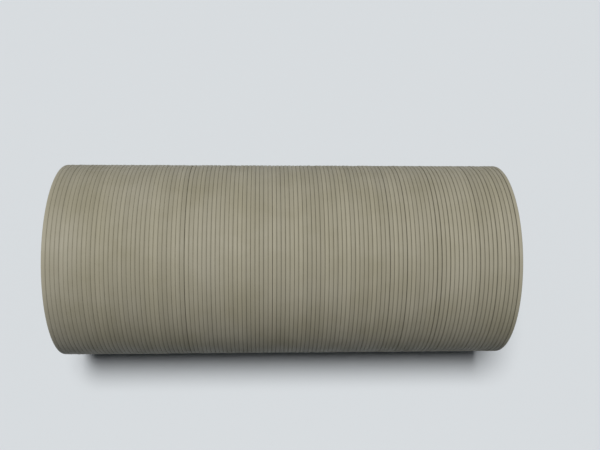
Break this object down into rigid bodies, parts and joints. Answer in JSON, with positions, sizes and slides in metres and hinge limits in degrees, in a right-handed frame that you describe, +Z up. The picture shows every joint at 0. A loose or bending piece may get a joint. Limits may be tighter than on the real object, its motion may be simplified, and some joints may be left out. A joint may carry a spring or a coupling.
{
  "type": "flexible air duct",
  "caption": "Round ribbed plastic air duct, closed up to its shortest length, that stretches and bends as its pleats open, with an open bore for a spigot at each end.",
  "frame": {"origin": "on the floor under the middle of the duct, which lies on its flat", "axes": "+X along the duct from its inlet to its outlet, +Z up, and the duct bends its ends towards +Y"},
  "size_m": [0.3494, 0.154, 0.1535],
  "materials": {
    "duct_plastic": "satin moulded polypropylene, warm grey beige"
  },
  "bodies": {
    "inlet_turns": {"inlet_turns": "duct_plastic"},
    "turns_01": {"turns_01": "duct_plastic"},
    "turns_02": {"turns_02": "duct_plastic"},
    "turns_03": {"turns_03": "duct_plastic"},
    "turns_04": {"turns_04": "duct_plastic"},
    "turns_05": {"turns_05": "duct_plastic"},
    "turns_06": {"turns_06": "duct_plastic"},
    "turns_07": {"turns_07": "duct_plastic"},
    "turns_08": {"turns_08": "duct_plastic"},
    "turns_09": {"turns_09": "duct_plastic"},
    "turns_10": {"turns_10": "duct_plastic"},
    "turns_11": {"turns_11": "duct_plastic"},
    "turns_12": {"turns_12": "duct_plastic"},
    "turns_13": {"turns_13": "duct_plastic"},
    "turns_14": {"turns_14": "duct_plastic"},
    "turns_15": {"turns_15": "duct_plastic"},
    "turns_16": {"turns_16": "duct_plastic"},
    "turns_17": {"turns_17": "duct_plastic"},
    "turns_18": {"turns_18": "duct_plastic"},
    "turns_19": {"turns_19": "duct_plastic"},
    "turns_20": {"turns_20": "duct_plastic"},
    "turns_21": {"turns_21": "duct_plastic"},
    "turns_22": {"turns_22": "duct_plastic"},
    "turns_23": {"turns_23": "duct_plastic"},
    "turns_24": {"turns_24": "duct_plastic"},
    "turns_25": {"turns_25": "duct_plastic"},
    "turns_26": {"turns_26": "duct_plastic"},
    "turns_27": {"turns_27": "duct_plastic"},
    "turns_28": {"turns_28": "duct_plastic"},
    "turns_29": {"turns_29": "duct_plastic"},
    "turns_30": {"turns_30": "duct_plastic"},
    "turns_31": {"turns_31": "duct_plastic"},
    "turns_32": {"turns_32": "duct_plastic"},
    "turns_33": {"turns_33": "duct_plastic"},
    "turns_34": {"turns_34": "duct_plastic"},
    "turns_35": {"turns_35": "duct_plastic"},
    "turns_36": {"turns_36": "duct_plastic"},
    "outlet_turns": {"outlet_turns": "duct_plastic"}
  },
  "joints": [
    {"name": "stretch_01", "type": "slide", "parent": "turns_01", "child": "inlet_turns", "axis": [-1, 0, 0], "range_m": [0, 0.045]},
    {"name": "bend_01", "type": "hinge", "parent": "turns_02", "child": "turns_01", "pos_m": [-0.13674, 0.077, 0.0765], "axis": [0, 0, -1], "range_deg": [0, 5]},
    {"name": "stretch_02", "type": "slide", "parent": "turns_03", "child": "turns_02", "axis": [-1, 0, 0], "range_m": [0, 0.045]},
    {"name": "bend_02", "type": "hinge", "parent": "turns_04", "child": "turns_03", "pos_m": [-0.12084, 0.077, 0.0765], "axis": [0, 0, -1], "range_deg": [0, 5]},
    {"name": "stretch_03", "type": "slide", "parent": "turns_05", "child": "turns_04", "axis": [-1, 0, 0], "range_m": [0, 0.045]},
    {"name": "bend_03", "type": "hinge", "parent": "turns_06", "child": "turns_05", "pos_m": [-0.10494, 0.077, 0.0765], "axis": [0, 0, -1], "range_deg": [0, 5]},
    {"name": "stretch_04", "type": "slide", "parent": "turns_07", "child": "turns_06", "axis": [-1, 0, 0], "range_m": [0, 0.045]},
    {"name": "bend_04", "type": "hinge", "parent": "turns_08", "child": "turns_07", "pos_m": [-0.08904, 0.077, 0.0765], "axis": [0, 0, -1], "range_deg": [0, 5]},
    {"name": "stretch_05", "type": "slide", "parent": "turns_09", "child": "turns_08", "axis": [-1, 0, 0], "range_m": [0, 0.045]},
    {"name": "bend_05", "type": "hinge", "parent": "turns_10", "child": "turns_09", "pos_m": [-0.07314, 0.077, 0.0765], "axis": [0, 0, -1], "range_deg": [0, 5]},
    {"name": "stretch_06", "type": "slide", "parent": "turns_11", "child": "turns_10", "axis": [-1, 0, 0], "range_m": [0, 0.045]},
    {"name": "bend_06", "type": "hinge", "parent": "turns_12", "child": "turns_11", "pos_m": [-0.05724, 0.077, 0.0765], "axis": [0, 0, -1], "range_deg": [0, 5]},
    {"name": "stretch_07", "type": "slide", "parent": "turns_13", "child": "turns_12", "axis": [-1, 0, 0], "range_m": [0, 0.045]},
    {"name": "bend_07", "type": "hinge", "parent": "turns_14", "child": "turns_13", "pos_m": [-0.04134, 0.077, 0.0765], "axis": [0, 0, -1], "range_deg": [0, 5]},
    {"name": "stretch_08", "type": "slide", "parent": "turns_15", "child": "turns_14", "axis": [-1, 0, 0], "range_m": [0, 0.045]},
    {"name": "bend_08", "type": "hinge", "parent": "turns_16", "child": "turns_15", "pos_m": [-0.02544, 0.077, 0.0765], "axis": [0, 0, -1], "range_deg": [0, 5]},
    {"name": "stretch_09", "type": "slide", "parent": "turns_17", "child": "turns_16", "axis": [-1, 0, 0], "range_m": [0, 0.045]},
    {"name": "bend_09", "type": "hinge", "parent": "turns_18", "child": "turns_17", "pos_m": [-0.00954, 0.077, 0.0765], "axis": [0, 0, -1], "range_deg": [0, 5]},
    {"name": "stretch_10", "type": "slide", "parent": "turns_18", "child": "turns_19", "axis": [1, 0, 0], "range_m": [0, 0.045]},
    {"name": "bend_10", "type": "hinge", "parent": "turns_19", "child": "turns_20", "pos_m": [0.00636, 0.077, 0.0765], "axis": [0, 0, 1], "range_deg": [0, 5]},
    {"name": "stretch_11", "type": "slide", "parent": "turns_20", "child": "turns_21", "axis": [1, 0, 0], "range_m": [0, 0.045]},
    {"name": "bend_11", "type": "hinge", "parent": "turns_21", "child": "turns_22", "pos_m": [0.02226, 0.077, 0.0765], "axis": [0, 0, 1], "range_deg": [0, 5]},
    {"name": "stretch_12", "type": "slide", "parent": "turns_22", "child": "turns_23", "axis": [1, 0, 0], "range_m": [0, 0.045]},
    {"name": "bend_12", "type": "hinge", "parent": "turns_23", "child": "turns_24", "pos_m": [0.03816, 0.077, 0.0765], "axis": [0, 0, 1], "range_deg": [0, 5]},
    {"name": "stretch_13", "type": "slide", "parent": "turns_24", "child": "turns_25", "axis": [1, 0, 0], "range_m": [0, 0.045]},
    {"name": "bend_13", "type": "hinge", "parent": "turns_25", "child": "turns_26", "pos_m": [0.05406, 0.077, 0.0765], "axis": [0, 0, 1], "range_deg": [0, 5]},
    {"name": "stretch_14", "type": "slide", "parent": "turns_26", "child": "turns_27", "axis": [1, 0, 0], "range_m": [0, 0.045]},
    {"name": "bend_14", "type": "hinge", "parent": "turns_27", "child": "turns_28", "pos_m": [0.06996, 0.077, 0.0765], "axis": [0, 0, 1], "range_deg": [0, 5]},
    {"name": "stretch_15", "type": "slide", "parent": "turns_28", "child": "turns_29", "axis": [1, 0, 0], "range_m": [0, 0.045]},
    {"name": "bend_15", "type": "hinge", "parent": "turns_29", "child": "turns_30", "pos_m": [0.08586, 0.077, 0.0765], "axis": [0, 0, 1], "range_deg": [0, 5]},
    {"name": "stretch_16", "type": "slide", "parent": "turns_30", "child": "turns_31", "axis": [1, 0, 0], "range_m": [0, 0.045]},
    {"name": "bend_16", "type": "hinge", "parent": "turns_31", "child": "turns_32", "pos_m": [0.10176, 0.077, 0.0765], "axis": [0, 0, 1], "range_deg": [0, 5]},
    {"name": "stretch_17", "type": "slide", "parent": "turns_32", "child": "turns_33", "axis": [1, 0, 0], "range_m": [0, 0.045]},
    {"name": "bend_17", "type": "hinge", "parent": "turns_33", "child": "turns_34", "pos_m": [0.11766, 0.077, 0.0765], "axis": [0, 0, 1], "range_deg": [0, 5]},
    {"name": "stretch_18", "type": "slide", "parent": "turns_34", "child": "turns_35", "axis": [1, 0, 0], "range_m": [0, 0.045]},
    {"name": "bend_18", "type": "hinge", "parent": "turns_35", "child": "turns_36", "pos_m": [0.13356, 0.077, 0.0765], "axis": [0, 0, 1], "range_deg": [0, 5]},
    {"name": "stretch_19", "type": "slide", "parent": "turns_36", "child": "outlet_turns", "axis": [1, 0, 0], "range_m": [0, 0.045]}
  ],
  "couplings": [
    {"joint": "stretch_01", "follows": "stretch_10", "ratio": 1},
    {"joint": "bend_01", "follows": "bend_09", "ratio": 1},
    {"joint": "stretch_02", "follows": "stretch_10", "ratio": 1},
    {"joint": "bend_02", "follows": "bend_09", "ratio": 1},
    {"joint": "stretch_03", "follows": "stretch_10", "ratio": 1},
    {"joint": "bend_03", "follows": "bend_09", "ratio": 1},
    {"joint": "stretch_04", "follows": "stretch_10", "ratio": 1},
    {"joint": "bend_04", "follows": "bend_09", "ratio": 1},
    {"joint": "stretch_05", "follows": "stretch_10", "ratio": 1},
    {"joint": "bend_05", "follows": "bend_09", "ratio": 1},
    {"joint": "stretch_06", "follows": "stretch_10", "ratio": 1},
    {"joint": "bend_06", "follows": "bend_09", "ratio": 1},
    {"joint": "stretch_07", "follows": "stretch_10", "ratio": 1},
    {"joint": "bend_07", "follows": "bend_09", "ratio": 1},
    {"joint": "stretch_08", "follows": "stretch_10", "ratio": 1},
    {"joint": "bend_08", "follows": "bend_09", "ratio": 1},
    {"joint": "stretch_09", "follows": "stretch_10", "ratio": 1},
    {"joint": "bend_10", "follows": "bend_09", "ratio": 1},
    {"joint": "stretch_11", "follows": "stretch_10", "ratio": 1},
    {"joint": "bend_11", "follows": "bend_09", "ratio": 1},
    {"joint": "stretch_12", "follows": "stretch_10", "ratio": 1},
    {"joint": "bend_12", "follows": "bend_09", "ratio": 1},
    {"joint": "stretch_13", "follows": "stretch_10", "ratio": 1},
    {"joint": "bend_13", "follows": "bend_09", "ratio": 1},
    {"joint": "stretch_14", "follows": "stretch_10", "ratio": 1},
    {"joint": "bend_14", "follows": "bend_09", "ratio": 1},
    {"joint": "stretch_15", "follows": "stretch_10", "ratio": 1},
    {"joint": "bend_15", "follows": "bend_09", "ratio": 1},
    {"joint": "stretch_16", "follows": "stretch_10", "ratio": 1},
    {"joint": "bend_16", "follows": "bend_09", "ratio": 1},
    {"joint": "stretch_17", "follows": "stretch_10", "ratio": 1},
    {"joint": "bend_17", "follows": "bend_09", "ratio": 1},
    {"joint": "stretch_18", "follows": "stretch_10", "ratio": 1},
    {"joint": "bend_18", "follows": "bend_09", "ratio": 1},
    {"joint": "stretch_19", "follows": "stretch_10", "ratio": 1}
  ]
}
